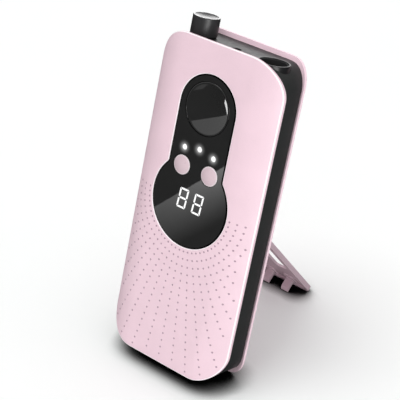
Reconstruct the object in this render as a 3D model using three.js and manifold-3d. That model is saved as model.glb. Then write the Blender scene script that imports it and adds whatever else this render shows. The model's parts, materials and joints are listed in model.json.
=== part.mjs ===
// Control unit of a portable nail drill, standing on its fold-out stand.
//
// Millimetres. The body is modelled upright in its own axes: x to the right, y from the front face
// to the back, z up from the bottom edge. One group then leans it back onto the stand, so that the
// rear foot and the end of the stand rest on the plane z = 0. The origin of the whole object is the
// middle of the rear foot's underside.

import * as THREE from 'three';
import { mergeVertices } from 'three/addons/utils/BufferGeometryUtils.js';
import Module from 'manifold-3d';

const wasm = await Module();
wasm.setup();

// ---------------------------------------------------------------- driving dimensions

const WIDTH = 75;
const HEIGHT = 170;
const DEPTH = 28;
const LEAN = THREE.MathUtils.degToRad(16.7); // how far the body leans back
const GAP = 0.2; // clearance between neighbouring pieces

const FLAT = 20.5; // half width of the flat middle of both covers
const FRONT = { bend: 25.5, wall: 1.4, corner: 18 };
const BACK = { bend: 31, wall: 1.5, corner: 12.5 };
const FRAME = { sideInset: 1.3, endInset: 2.5, corner: 11.5, wall: 2.2 };

const PANEL = { neck: 17, neckZ: 137.4, bowl: 23.4, bowlZ: 88.9, fillet: 3, groove: 0.5 };
const PANEL_REAR = { depth: 3, flange: 1.5, thick: 0.9 };
const DISC = { radius: 13.35, dish: 1.5, proud: 0, rim: 0.5, flange: 1.2, thick: 1, stem: 2.5 };
const DISC_Z = 137.5;
const BUTTON = { radius: 5, dish: -0.9, proud: 0.1, rim: 0.4, flange: 1, thick: 0.8, stem: 2 };
const [BUTTON_X, BUTTON_Z] = [8.7, 105.8];
const STEM_END = 4.7; // depth at which the stems of the disc and the buttons end
const SWITCH = { half: 3, front: 6, plunger: 1.5, tip: 4.8, tail: 7.4, play: 0.08 };
const LED = { radius: 1.4, outerX: 9.1, outerZ: 115, middleZ: 116.7, tip: 0.35, collar: 0.4, rear: 3.6 };
const LED_LEAD = { x: 0.7, half: 0.2, sunk: 0.3 };
const GUIDE = { margin: 1.9, thick: 0.8, moduleMargin: 3.8 };
const DIGIT = { height: 10.4, width: 5.5, stroke: 0.85, gap: 0.3, slant: 0.07, x: [-4.2, 5.3], z: 89.6 };

const TOP = HEIGHT - FRAME.endInset; // height of the top face
const TOP_CUT = HEIGHT - 20; // low end of the holes through the top wall
const KNOB = { x: -19.6, y: 12, radius: 6.87, bottom: TOP + 0.5, top: TOP + 10.3, dish: 0.9, edge: 0.7 };
const KNOB_BORE = { radius: 3.08, roof: 2.5, hollow: 5.7, hollowTop: 3.1 };
const POT = { can: 8, bottom: 153.5, bush: 3.5, bushTop: TOP + 3.3, bore: 3.07, floor: 3.1, room: 0.3 };
const SHAFT = { radius: 3, clear: 0.3 };
const NUT = { radius: 5.2, bore: 3.65, height: 2 };
const JACK = { x: 2.4, y: 10.8, mouth: 2.45, collar: 2.3, bore: 1.8, half: 4.5, tall: 12 };
const HOLDER = { x: 24.1, y: 11.8, radius: 8.2, wall: 0.9, base: 1.5, lip: 0.3, bottom: 136, top: TOP + 0.4 };
const LINER = { wall: 0.6, play: 0.1, above: 0.3, below: 0.5 };

const BOARD = { y: 9, thick: 1.6, half: 26.5, bottom: 79, notchX: 14.9, notchZ: 134, top: 150, hole: 1.3 };
const POST = { radius: 3, pilot: 1.2, pilotDepth: 6, split: 13, x: 30.3, z: [14, 120] };
const COVER_SCREW = { head: 2.1, shank: 1.1, room: 0.2, seat: 4.5, top: 6.6, reach: 5 };
const BOARD_POST = { radius: 2.6, pilot: 1.1, pilotDepth: 8 };
const BOARD_POSTS = [[-23, 84], [23, 84], [-23, 144], [22, 128]]; // x and z of each
const BOARD_SCREW = { head: 1.9, shank: 0.95, above: 1.7, reach: 7 };
const CHIP = { x: [-15, -8], z: [104, 111], tall: 1.8 };
const INDUCTOR = { x: 8, z: 104, radius: 5, tall: 5 };
const CAPACITOR = { x: 12, z: 120, radius: 4, tall: 9 };

const OPEN = THREE.MathUtils.degToRad(53.4); // how far the stand is folded out
const STAND = { half: 18.84, rim: 2.6, deep: 2.8, skin: 1.2, corner: 4 };
const HINGE = { y: DEPTH + 2.6, z: 81, knuckle: 2.2, pin: 1, play: 0.1, lug: 6.9, clear: 0.3 };
const SLOT = { inner: 4, outer: 11.5, low: 22.8, high: 14, corner: 2 };
const PRONG = { x: 6.67, width: 4.5, thick: 2.3, rise: 4.5, tip: 1.7, edge: 1 };
const SEAT = { beside: 1.2, tall: 8.6, corner: 1.4 };

const FOOT = { half: 18, front: 21.4, back: 25.9, clear: 0.3, under: 0.2 };
const CELL = { radius: 9.15, x: 9.6, y: 15.9, bottom: 8, length: 65, edge: 0.5, cap: 3, capTall: 1.5 };
const CRADLE = { half: 20.2, wall: 1.5, play: 0.25, clear: 0.3, front: 7.9, tray: 1 };
const PORT = { y: 14, z: 34, tall: 9, thick: 3.3, wall: 0.35, deep: 7.7, tongue: 0.35, play: 0.3 };
const BATTERY_LEAD = { radius: 0.7, x: 5, y: 20, rise: 3, turnY: 16, turnRise: 7, spread: 0.4 };
const JACK_LEAD = { radius: 0.6, x: 2, y: 13, turnY: 14, fall: 2, turnFall: 5 };
const LEAD_END = 1.1; // from the board to the middle of a lead's end

const OVER = 1; // how far a cutting tool runs past what it cuts
const HAIR = 0.02; // keeps two faces out of one plane
const FACET = 0.035; // how far an outline's straight steps may leave the true arc
const ROUND = 40; // sides of a large turned piece
const MEDIUM_ROUND = 28; // sides of a button
const SMALL_ROUND = 20; // sides of a running fit
const HIDDEN_ROUND = 12; // sides of a small or hidden round
const HEXAGON = 6;

// ---------------------------------------------------------------- materials

function finish(color, roughness, metalness = 0) {
  return new THREE.MeshStandardMaterial({ color, roughness, metalness });
}

const PINK = finish('#edd1dc', 0.38);
const BLACK = finish('#303232', 0.5);
const GLOSS = finish('#151515', 0.08);
const LIGHT = new THREE.MeshStandardMaterial({ color: '#ffffff', emissive: '#ffffff', roughness: 0.4 });
const RUBBER = finish('#26262a', 0.85);
const STEEL = finish('#b9bcc0', 0.3, 1);
const BOARD_GREEN = finish('#1f5a3c', 0.55);
const DARK_PART = finish('#1b1b1d', 0.6);
const CELL_WRAP = finish('#3f7fb5', 0.35);
const WIRE = finish('#b02a2a', 0.5);

// ---------------------------------------------------------------- solids from geometry

// A closed solid from a three.js geometry: shared vertices merged, faces turned outwards.
function solid(geometry) {
  const bare = new THREE.BufferGeometry();
  bare.setAttribute('position', geometry.getAttribute('position'));
  if (geometry.index) bare.setIndex(geometry.index);
  const merged = mergeVertices(bare, 1e-4);
  const position = merged.getAttribute('position').array;
  const index = merged.index.array;
  const faces = [];
  let volume = 0;
  const [a, b, c] = [new THREE.Vector3(), new THREE.Vector3(), new THREE.Vector3()];
  for (let i = 0; i < index.length; i += 3) {
    const [p, q, r] = [index[i], index[i + 1], index[i + 2]];
    if (p === q || q === r || r === p) continue;
    faces.push([p, q, r]);
    a.fromArray(position, 3 * p);
    b.fromArray(position, 3 * q);
    c.fromArray(position, 3 * r);
    volume += a.dot(b.cross(c));
  }
  const triangles = faces.flatMap(([p, q, r]) => (volume > 0 ? [p, q, r] : [p, r, q]));
  const vertProperties = new Float32Array(position);
  const triVerts = new Uint32Array(triangles);
  return new wasm.Manifold(new wasm.Mesh({ numProp: 3, vertProperties, triVerts }));
}

function geometryOf(shape) {
  const mesh = shape.getMesh();
  const geometry = new THREE.BufferGeometry();
  geometry.setAttribute('position', new THREE.BufferAttribute(mesh.vertProperties, 3));
  geometry.setIndex(new THREE.BufferAttribute(mesh.triVerts, 1));
  geometry.computeVertexNormals();
  return geometry;
}

function join(...solids) {
  return solids.reduce((whole, piece) => whole.add(piece));
}

function cut(whole, ...tools) {
  return tools.reduce((rest, tool) => rest.subtract(tool), whole);
}

function extruded(shape, depth) {
  return new THREE.ExtrudeGeometry(shape, { depth, bevelEnabled: false });
}

// A flat outline drawn in (x, z), extruded from y0 to y1.
function alongY(shape, y0, y1) {
  return solid(extruded(shape, y1 - y0).rotateX(Math.PI / 2).translate(0, y1, 0));
}

// A flat outline drawn in (x, y), extruded from z0 to z1.
function alongZ(shape, z0, z1) {
  return solid(extruded(shape, z1 - z0).translate(0, 0, z0));
}

// A flat outline drawn in (y, z), extruded from x0 to x1.
function alongX(shape, x0, x1) {
  const turn = new THREE.Matrix4().makeBasis(
    new THREE.Vector3(0, 1, 0),
    new THREE.Vector3(0, 0, 1),
    new THREE.Vector3(1, 0, 0),
  );
  return solid(extruded(shape, x1 - x0).applyMatrix4(turn).translate(x0, 0, 0));
}

function turned(profile, sides) {
  return new THREE.LatheGeometry(profile.map(([r, h]) => new THREE.Vector2(r, h)), sides);
}

// A turned solid whose axis runs along z through (x, y); the profile holds [radius, z] pairs.
function turnedZ(profile, x, y, sides = ROUND) {
  return solid(turned(profile, sides).rotateX(Math.PI / 2).translate(x, y, 0));
}

// A turned solid whose axis runs along y through (x, z); the profile holds [radius, y] pairs.
function turnedY(profile, x, z, sides = ROUND) {
  return solid(turned(profile, sides).translate(x, 0, z));
}

function rodZ(radius, x, y, z0, z1, sides = HIDDEN_ROUND) {
  return turnedZ([[0, z0], [radius, z0], [radius, z1], [0, z1]], x, y, sides);
}

function rodY(radius, x, z, y0, y1, sides = HIDDEN_ROUND) {
  return turnedY([[0, y0], [radius, y0], [radius, y1], [0, y1]], x, z, sides);
}

function rodX(radius, y, z, x0, x1, sides = SMALL_ROUND) {
  const rod = turned([[0, x0], [radius, x0], [radius, x1], [0, x1]], sides);
  return solid(rod.rotateZ(-Math.PI / 2).translate(0, y, z));
}

function block([x0, x1], [y0, y1], [z0, z1]) {
  const box = new THREE.BoxGeometry(x1 - x0, y1 - y0, z1 - z0);
  return solid(box.translate((x0 + x1) / 2, (y0 + y1) / 2, (z0 + z1) / 2));
}

// A round wire through the given points.
function wire(points, radius) {
  const circle = new THREE.Shape().absarc(0, 0, radius, 0, 2 * Math.PI);
  const path = new THREE.CatmullRomCurve3(points.map((point) => new THREE.Vector3(...point)));
  const options = { extrudePath: path, steps: 8, curveSegments: 3 };
  return solid(new THREE.ExtrudeGeometry(circle, options));
}

// ---------------------------------------------------------------- outlines

// Points along an arc, from one angle to another, close enough together for FACET.
function arc(x, y, radius, from, to) {
  const step = 2 * Math.acos(1 - FACET / radius);
  const count = Math.ceil(Math.abs(to - from) / step);
  const points = [];
  for (let i = 0; i <= count; i += 1) {
    const angle = from + ((to - from) * i) / count;
    points.push(new THREE.Vector2(x + radius * Math.cos(angle), y + radius * Math.sin(angle)));
  }
  return points;
}

function roundedRect(x0, x1, z0, z1, radius) {
  const quarter = Math.PI / 2;
  return new THREE.Shape([
    ...arc(x1 - radius, z0 + radius, radius, -quarter, 0),
    ...arc(x1 - radius, z1 - radius, radius, 0, quarter),
    ...arc(x0 + radius, z1 - radius, radius, quarter, 2 * quarter),
    ...arc(x0 + radius, z0 + radius, radius, 2 * quarter, 3 * quarter),
  ]);
}

// The body's outline, drawn in by the given insets.
function bodyOutline(sideInset, endInset, corner) {
  const half = WIDTH / 2 - sideInset;
  return roundedRect(-half, half, endInset, HEIGHT - endInset, corner);
}

// Keyhole outline of the control panel, grown outwards by the given amount.
function keyhole(grow) {
  const { neck, neckZ, bowl, bowlZ, fillet } = PANEL;
  const filletX = neck + fillet;
  const rise = Math.sqrt((bowl + fillet) ** 2 - filletX ** 2);
  const filletZ = bowlZ + rise;
  const turn = Math.atan2(rise, filletX);
  return new THREE.Shape([
    ...arc(0, neckZ, neck + grow, 0, Math.PI),
    ...arc(-filletX, filletZ, fillet - grow, 0, -turn),
    ...arc(0, bowlZ, bowl + grow, Math.PI - turn, 2 * Math.PI + turn).slice(1),
    ...arc(filletX, filletZ, fillet - grow, Math.PI + turn, Math.PI).slice(1),
  ]);
}

// One cover curve in (x, y), left to right: flat in the middle, bent at both sides. The bulge is -1
// where the flat middle faces the front and 1 where it faces the back.
function coverCurve({ centre, radius, bulge }) {
  const sweep = bulge * Math.asin((WIDTH / 2 - FLAT + 1) / radius);
  const middle = (bulge * Math.PI) / 2;
  return [
    ...arc(-FLAT, centre, radius, middle + sweep, middle),
    ...arc(FLAT, centre, radius, middle, middle - sweep),
  ];
}

// Cross-section of the body between two such curves.
function section(nearer, further) {
  return new THREE.Shape([...coverCurve(nearer), ...coverCurve(further).reverse()]);
}

// The front cover's curve, and the back cover's, moved inwards by the given depth.
function frontCurve(depth) {
  return { centre: FRONT.bend, radius: FRONT.bend - depth, bulge: -1 };
}

function backCurve(depth) {
  return { centre: DEPTH - BACK.bend, radius: BACK.bend - depth, bulge: 1 };
}

// The five outlines that make a seven-segment digit when they are mirrored: a bar at the top, one in
// the middle and one upright at the top right, round the digit's centre.
function segments() {
  const { width, height, stroke, gap } = DIGIT;
  const [right, top] = [width / 2, height / 2];
  const point = stroke / 2;
  const level = right - point - gap;
  return {
    top: [[gap - right, top], [right - gap, top], [right - stroke - gap, top - stroke],
      [stroke + gap - right, top - stroke]],
    middle: [[level, 0], [level - point, -point], [point - level, -point], [-level, 0],
      [point - level, point], [level - point, point]],
    upright: [[right, top - gap], [right, point + gap], [right - point, gap],
      [right - stroke, point + gap], [right - stroke, top - stroke - gap]],
  };
}

// A convex clockwise outline with every side moved outwards by the given amount.
function grown(points, amount) {
  return points.map((corner, i) => {
    const before = points[(i + points.length - 1) % points.length];
    const after = points[(i + 1) % points.length];
    const [a, b] = [[before, corner], [corner, after]].map(([[x0, z0], [x1, z1]]) => {
      return new THREE.Vector2(z0 - z1, x1 - x0).normalize();
    });
    const share = amount / (1 + a.dot(b));
    return [corner[0] + (a.x + b.x) * share, corner[1] + (a.y + b.y) * share];
  });
}

// All fourteen bars of the display, each grown by the given amount.
function digitBars(growth) {
  const { top, middle, upright } = segments();
  const placed = (outline, centre, side, half) => {
    const corners = grown(outline, growth).map(([x, z]) => {
      return new THREE.Vector2(centre + side * x + half * z * DIGIT.slant, DIGIT.z + half * z);
    });
    return new THREE.Shape(corners);
  };
  return DIGIT.x.flatMap((centre) => [
    placed(middle, centre, 1, 1),
    ...[-1, 1].map((half) => placed(top, centre, 1, half)),
    ...[-1, 1].flatMap((half) => [-1, 1].map((side) => placed(upright, centre, side, half))),
  ]);
}

// The display's rectangle in (x, z), grown by the given margin.
function digitField(margin) {
  const [first, last] = DIGIT.x;
  const across = DIGIT.width / 2 + margin;
  const up = DIGIT.height / 2 + margin;
  return [[first - across, last + across], [DIGIT.z - up, DIGIT.z + up]];
}

// ---------------------------------------------------------------- assembly helpers

const body = new THREE.Group();
const stand = new THREE.Group();

function add(name, shape, material, group = body) {
  const mesh = new THREE.Mesh(geometryOf(shape), material);
  mesh.name = name;
  group.add(mesh);
}

function mirrored(values) {
  return values.flatMap(([x, z]) => [[-x, z], [x, z]]);
}

const coverPosts = mirrored(POST.z.map((z) => [POST.x, z]));

// ---------------------------------------------------------------- housing

// Everything between the middles of the two cover walls, for trimming the posts.
function insideCovers() {
  return alongZ(section(frontCurve(FRONT.wall / 2), backCurve(BACK.wall / 2)), 0, HEIGHT);
}

function frontCover() {
  const sheet = alongZ(section(frontCurve(0), frontCurve(FRONT.wall)), -OVER, HEIGHT + OVER);
  const outline = alongY(bodyOutline(0, 0, FRONT.corner), -OVER, DEPTH);
  const posts = coverPosts.map(([x, z]) => rodY(POST.radius, x, z, 0, POST.split));
  const whole = join(sheet.intersect(outline), join(...posts).intersect(insideCovers()));
  const opening = alongY(keyhole(GAP), -OVER, PANEL_REAR.depth);
  const pilotEnd = POST.split - POST.pilotDepth;
  const pilots = coverPosts.map(([x, z]) => rodY(POST.pilot, x, z, pilotEnd, POST.split + OVER));
  return cut(whole, opening, ...pilots);
}

function hingeLug() {
  const knuckle = rodX(HINGE.knuckle, HINGE.y, HINGE.z, -HINGE.lug, HINGE.lug);
  const root = [DEPTH - BACK.wall / 2, HINGE.y];
  const height = [HINGE.z - HINGE.knuckle, HINGE.z + HINGE.knuckle];
  return join(knuckle, block([-HINGE.lug, HINGE.lug], root, height));
}

function backCover() {
  const sheet = alongZ(section(backCurve(BACK.wall), backCurve(0)), -OVER, HEIGHT + OVER);
  const outline = alongY(bodyOutline(0, 0, BACK.corner), 0, DEPTH + OVER);
  const posts = coverPosts.map(([x, z]) => rodY(POST.radius, x, z, POST.split + GAP, DEPTH));
  const boardFace = BOARD.y + BOARD.thick + GAP;
  const stands = BOARD_POSTS.map(([x, z]) => rodY(BOARD_POST.radius, x, z, boardFace, DEPTH));
  const whole = join(sheet.intersect(outline), join(...posts, ...stands).intersect(insideCovers()));
  const { head, shank, room, seat } = COVER_SCREW;
  const headRoom = coverPosts.map(([x, z]) => rodY(head + room, x, z, POST.split + seat, DEPTH + OVER));
  const shankRoom = coverPosts.map(([x, z]) => rodY(shank + room, x, z, POST.split - OVER, DEPTH));
  const pilotEnd = boardFace + BOARD_POST.pilotDepth;
  const pilots = BOARD_POSTS.map(([x, z]) => {
    return rodY(BOARD_POST.pilot, x, z, boardFace - OVER, pilotEnd);
  });
  const reach = HINGE.lug + OVER;
  const bore = rodX(HINGE.pin + HINGE.play, HINGE.y, HINGE.z, -reach, reach);
  return cut(join(whole, hingeLug()), bore, ...headRoom, ...shankRoom, ...pilots);
}

// A slot outline in (y, z) with round ends.
function stadium(y, z, tall, thick) {
  const [across, up] = [thick / 2, tall / 2];
  return roundedRect(y - across, y + across, z - up, z + up, across * 0.99);
}

function midFrame() {
  const outline = bodyOutline(FRAME.sideInset, FRAME.endInset, FRAME.corner);
  const insets = [FRAME.sideInset + FRAME.wall, FRAME.endInset + FRAME.wall];
  outline.holes.push(bodyOutline(...insets, FRAME.corner - FRAME.wall));
  const fill = section(frontCurve(FRONT.wall + GAP), backCurve(BACK.wall + GAP));
  const ring = alongY(outline, -OVER, DEPTH + OVER).intersect(alongZ(fill, 0, HEIGHT));
  const holderHole = rodZ(HOLDER.radius + GAP, HOLDER.x, HOLDER.y, TOP_CUT, HEIGHT, ROUND);
  const jackHole = rodZ(JACK.mouth, JACK.x, JACK.y, TOP_CUT, HEIGHT, MEDIUM_ROUND);
  const bushHole = rodZ(POT.bush + POT.room, KNOB.x, KNOB.y, TOP_CUT, HEIGHT, SMALL_ROUND);
  const { y, z, tall, thick, play } = PORT;
  const wall = [-WIDTH / 2 - OVER, -WIDTH / 2 + FRAME.sideInset + FRAME.wall + OVER];
  const portHole = alongX(stadium(y, z, tall + 2 * play, thick + 2 * play), ...wall);
  return cut(ring, holderHole, jackHole, bushHole, portHole);
}

// Height, in the body's own axes, of the floor plane at depth y. The body's lowest corner is the
// back edge of its bottom, which stays clear of the floor.
function floorAt(y) {
  const drop = DEPTH * Math.sin(LEAN) + FOOT.under;
  return (y * Math.sin(LEAN) - drop) / Math.cos(LEAN);
}

function rearFoot() {
  const top = FRAME.endInset - FOOT.clear;
  const outline = new THREE.Shape([
    new THREE.Vector2(FOOT.front, top),
    new THREE.Vector2(FOOT.front, floorAt(FOOT.front)),
    new THREE.Vector2(FOOT.back, floorAt(FOOT.back)),
    new THREE.Vector2(FOOT.back, top),
  ]);
  return alongX(outline, -FOOT.half, FOOT.half);
}

// Pan-head screw driven along +y or -y, with a hexagon socket.
function screw(x, z, headY, tipY, headRadius, shankRadius) {
  const way = Math.sign(tipY - headY);
  const seat = headY + headRadius * 0.75 * way;
  const profile = [[0, headY], [headRadius, headY], [headRadius, seat], [shankRadius, seat]];
  profile.push([shankRadius, tipY - way * shankRadius], [0, tipY]);
  const socket = rodY(headRadius / 2, x, z, headY - way * OVER, (headY + seat) / 2, HEXAGON);
  return cut(turnedY(profile, x, z, HIDDEN_ROUND), socket);
}

const pinHalf = STAND.half - STAND.skin / 2;
add('front_cover', frontCover(), PINK);
add('mid_frame', midFrame(), BLACK);
add('back_cover', backCover(), PINK);
add('rear_foot', rearFoot(), RUBBER);
add('hinge_pin', rodX(HINGE.pin, HINGE.y, HINGE.z, -pinHalf, pinHalf), STEEL);
coverPosts.forEach(([x, z], i) => {
  const { head, shank, top, reach } = COVER_SCREW;
  add(`cover_screw_${i + 1}`, screw(x, z, POST.split + top, POST.split - reach, head, shank), STEEL);
});

// ---------------------------------------------------------------- control panel and what it holds

// Plate set into the cover's keyhole behind a narrow groove, with a flange behind the cover's wall.
function controlPanel() {
  const { depth, flange, thick } = PANEL_REAR;
  const plate = alongY(keyhole(-PANEL.groove), 0, depth - thick / 2);
  const rear = alongY(keyhole(flange), depth - thick, depth);
  const hole = (radius, x, z, sides) => rodY(radius, x, z, -OVER, depth + OVER, sides);
  const holes = [
    hole(DISC.radius + GAP, 0, DISC_Z, ROUND),
    hole(BUTTON.radius + GAP, -BUTTON_X, BUTTON_Z, MEDIUM_ROUND),
    hole(BUTTON.radius + GAP, BUTTON_X, BUTTON_Z, MEDIUM_ROUND),
    hole(LED.radius + GAP, -LED.outerX, LED.outerZ),
    hole(LED.radius + GAP, LED.outerX, LED.outerZ),
    hole(LED.radius + GAP, 0, LED.middleZ),
  ];
  const windows = digitBars(GAP / 2).map((outline) => alongY(outline, -OVER, depth + OVER));
  return cut(join(plate, rear), ...holes, ...windows);
}

function lightGuide() {
  const { depth } = PANEL_REAR;
  const [across, up] = digitField(GUIDE.margin);
  const base = block(across, [depth + GAP, depth + GAP + GUIDE.thick], up);
  return join(base, ...digitBars(0).map((outline) => alongY(outline, HAIR, depth + 2 * GAP)));
}

function displayModule() {
  const [across, up] = digitField(GUIDE.moduleMargin);
  return block(across, [PANEL_REAR.depth + GUIDE.thick + 2 * GAP, BOARD.y - GAP], up);
}

// Lamp with a domed tip through the panel and two leads back to the board.
function lamp(x, z) {
  const { radius, tip, collar, rear } = LED;
  const profile = [[0, -tip], [radius * 0.53, -tip * 0.63], [radius * 0.87, tip * 0.3]];
  profile.push([radius, tip * 1.7], [radius, rear], [radius + collar, rear]);
  profile.push([radius + collar, rear + 1], [0, rear + 1]);
  const { x: apart, half, sunk } = LED_LEAD;
  const length = [rear + 1 - sunk, BOARD.y - GAP / 2];
  const leads = [x - apart, x + apart].map((middle) => {
    return block([middle - half, middle + half], length, [z - half, z + half]);
  });
  return join(turnedY(profile, x, z, HIDDEN_ROUND), ...leads);
}

add('control_panel', controlPanel(), GLOSS);
add('display_light_guide', lightGuide(), LIGHT);
add('display_module', displayModule(), DARK_PART);
add('led_left', lamp(-LED.outerX, LED.outerZ), LIGHT);
add('led_middle', lamp(0, LED.middleZ), LIGHT);
add('led_right', lamp(LED.outerX, LED.outerZ), LIGHT);

// The flange that stops a key behind the panel, and the stem that works its switch.
function keyRear({ radius, flange, thick, stem }) {
  const rear = PANEL_REAR.depth + GAP;
  const edge = radius + flange;
  const stop = [[radius, rear], [edge, rear], [edge, rear + thick], [stem, rear + thick]];
  return [...stop, [stem, STEM_END], [0, STEM_END]];
}

// Turned key with a dished face, or a crowned one where the dish is negative, and a rounded rim.
function key(shape, x, z, sides) {
  const { radius, dish, proud, rim } = shape;
  const profile = [[0, dish - proud]];
  const rings = 3;
  for (let i = 1; i <= rings; i += 1) {
    profile.push([((radius - rim) * i) / rings, dish * (1 - (i / rings) ** 2) - proud]);
  }
  profile.push([radius - rim * 0.3, rim * 0.2 - proud], [radius, rim * 0.8 - proud]);
  return turnedY([...profile, ...keyRear(shape)], x, z, sides);
}

function pushSwitch(x, z) {
  const { half, front, plunger: radius, play } = SWITCH;
  const back = BOARD.y - GAP / 2;
  const box = block([x - half, x + half], [front, back], [z - half, z + half]);
  return cut(box, rodY(radius + play, x, z, front - OVER, back - GAP));
}

add('start_button', key(DISC, 0, DISC_Z, ROUND), GLOSS);
add('left_button', key(BUTTON, -BUTTON_X, BUTTON_Z, MEDIUM_ROUND), PINK);
add('right_button', key(BUTTON, BUTTON_X, BUTTON_Z, MEDIUM_ROUND), PINK);
const keys = { start: [0, DISC_Z], left: [-BUTTON_X, BUTTON_Z], right: [BUTTON_X, BUTTON_Z] };
for (const [name, [x, z]] of Object.entries(keys)) {
  add(`${name}_switch`, pushSwitch(x, z), DARK_PART);
  add(`${name}_plunger`, rodY(SWITCH.plunger, x, z, SWITCH.tip, SWITCH.tail), PINK);
}

// ---------------------------------------------------------------- top edge

// Dished knob, hollow underneath, with a blind bore for the shaft.
function speedKnob() {
  const { radius, bottom, top, dish, edge } = KNOB;
  const { radius: bore, roof, hollow, hollowTop } = KNOB_BORE;
  const profile = [[0, top - roof], [bore, top - roof], [bore, bottom + hollowTop]];
  profile.push([hollow, bottom + hollowTop], [hollow, bottom], [radius, bottom], [radius, top - edge]);
  profile.push([radius - edge * 0.3, top - edge * 0.3], [radius - edge, top]);
  profile.push([radius - edge * 1.6, top - edge * 0.2], [radius / 2, top - dish * 0.8], [0, top - dish]);
  return turnedZ(profile, KNOB.x, KNOB.y);
}

function potentiometer() {
  const { can, bottom, bush, bushTop, bore, floor } = POT;
  const shoulder = TOP - FRAME.wall - 2 * GAP;
  const profile = [[0, bottom], [can, bottom], [can, shoulder], [bush, shoulder], [bush, bushTop]];
  profile.push([bore, bushTop], [bore, bottom + floor], [0, bottom + floor]);
  return turnedZ(profile, KNOB.x, KNOB.y, SMALL_ROUND);
}

function shaft() {
  const low = POT.bottom + POT.floor + SHAFT.clear;
  const high = KNOB.top - KNOB_BORE.roof - SHAFT.clear;
  return rodZ(SHAFT.radius, KNOB.x, KNOB.y, low, high, SMALL_ROUND);
}

function hexNut() {
  const nut = rodZ(NUT.radius, KNOB.x, KNOB.y, TOP + GAP, TOP + GAP + NUT.height, HEXAGON);
  return cut(nut, rodZ(NUT.bore, KNOB.x, KNOB.y, TOP, TOP + NUT.height + OVER, SMALL_ROUND));
}

function handpieceHolder() {
  const { radius, wall, base, lip, bottom, top } = HOLDER;
  const inside = radius - wall;
  const profile = [[0, bottom], [radius, bottom], [radius, top - lip], [radius - lip, top]];
  profile.push([inside + lip / 3, top], [inside, top - lip / 3], [inside, bottom + base]);
  profile.push([0, bottom + base]);
  return turnedZ(profile, HOLDER.x, HOLDER.y);
}

function holderLiner() {
  const outside = HOLDER.radius - HOLDER.wall - LINER.play;
  const inside = outside - LINER.wall;
  const low = HOLDER.bottom + HOLDER.base + LINER.above;
  const high = HOLDER.top - LINER.below;
  const profile = [[inside, low], [outside, low], [outside, high], [inside, high], [inside, low]];
  return turnedZ(profile, HOLDER.x, HOLDER.y);
}

const jackTop = TOP - FRAME.wall - GAP;

function handpieceJack() {
  const { x, y, collar, bore, half, tall } = JACK;
  const box = block([x - half, x + half], [y - half, y + half], [jackTop - tall, jackTop]);
  const mouth = rodZ(collar, x, y, jackTop - 1, TOP - 1, MEDIUM_ROUND);
  return cut(join(box, mouth), rodZ(bore, x, y, jackTop - tall + 1, TOP + OVER));
}

add('speed_knob', speedKnob(), BLACK);
add('potentiometer_shaft', shaft(), STEEL);
add('potentiometer', potentiometer(), STEEL);
add('potentiometer_nut', hexNut(), STEEL);
add('handpiece_holder', handpieceHolder(), BLACK);
add('holder_liner', holderLiner(), RUBBER);
add('handpiece_jack', handpieceJack(), DARK_PART);

// ---------------------------------------------------------------- electronics and battery

const boardBack = BOARD.y + BOARD.thick;
const partFace = boardBack + GAP / 2; // where the parts on the board's back start

function mainBoard() {
  const { y, half, bottom, notchX, notchZ, top, hole } = BOARD;
  const corners = [[-half, bottom], [half, bottom], [half, notchZ], [notchX, notchZ], [notchX, top]];
  corners.push([-half, top]);
  const outline = new THREE.Shape(corners.map(([x, z]) => new THREE.Vector2(x, z)));
  const holes = BOARD_POSTS.map(([x, z]) => rodY(hole, x, z, y - OVER, boardBack + OVER));
  return cut(alongY(outline, y, boardBack), ...holes);
}

function cell(x) {
  const { radius, y, bottom, length, edge, cap, capTall } = CELL;
  const top = bottom + length;
  const profile = [[0, bottom], [radius - edge, bottom], [radius, bottom + edge], [radius, top - edge]];
  profile.push([radius - edge, top], [cap, top], [cap, top + capTall], [0, top + capTall]);
  return turnedZ(profile, x, y, SMALL_ROUND);
}

const cradleLow = CELL.bottom - CRADLE.clear - CRADLE.wall;
const cradleHigh = CELL.bottom + CELL.length + CELL.capTall + CRADLE.clear + CRADLE.wall;

function batteryCradle() {
  const { half, wall, play, front, tray } = CRADLE;
  const back = DEPTH - BACK.wall - 3 * GAP;
  const floor = block([-half, half], [CELL.y + tray, back], [cradleLow, cradleHigh]);
  const ends = [cradleLow, cradleHigh - wall].map((z) => {
    return block([-half, half], [front, back], [z, z + wall]);
  });
  const room = [-CELL.x, CELL.x].map((x) => {
    return rodZ(CELL.radius + play, x, CELL.y, cradleLow + wall, cradleHigh - wall, SMALL_ROUND);
  });
  return join(cut(floor, ...room), ...ends);
}

// Hollow metal shell with a tongue inside, opening on the left wall.
function chargePort() {
  const { y, z, tall, thick, wall, deep, tongue, play } = PORT;
  const mouth = -WIDTH / 2 + FRAME.sideInset + play;
  const shell = alongX(stadium(y, z, tall, thick), mouth, mouth + deep);
  const end = mouth + deep - 4 * wall;
  const room = alongX(stadium(y, z, tall - 2 * wall, thick - 2 * wall), mouth - OVER, end);
  const reach = tall / 2 - 4 * wall;
  const blade = block([mouth + wall, end + wall], [y - tongue, y + tongue], [z - reach, z + reach]);
  return join(cut(shell, room), blade);
}

// From the top of the battery cradle to the back of the board.
function batteryLead(side) {
  const { radius, x, y, rise, turnY, turnRise, spread } = BATTERY_LEAD;
  const low = cradleHigh + radius + GAP;
  const [across, wider] = [side * x, side * x * (1 + spread)];
  const end = [side * x * (1 + 2 * spread), boardBack + LEAD_END, low + rise * 3];
  return wire([[across, y, low], [across, y, low + rise], [wider, turnY, low + turnRise], end], radius);
}

// From the underside of the jack to the back of the board.
function jackLead(side) {
  const { radius, y, turnY, fall, turnFall } = JACK_LEAD;
  const x = JACK.x + side * JACK_LEAD.x;
  const high = jackTop - JACK.tall - 1.5 * GAP;
  const end = [x, boardBack + LEAD_END, high - fall * 4];
  return wire([[x, y, high], [x, turnY, high - fall], [x, turnY, high - turnFall], end], radius);
}

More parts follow.
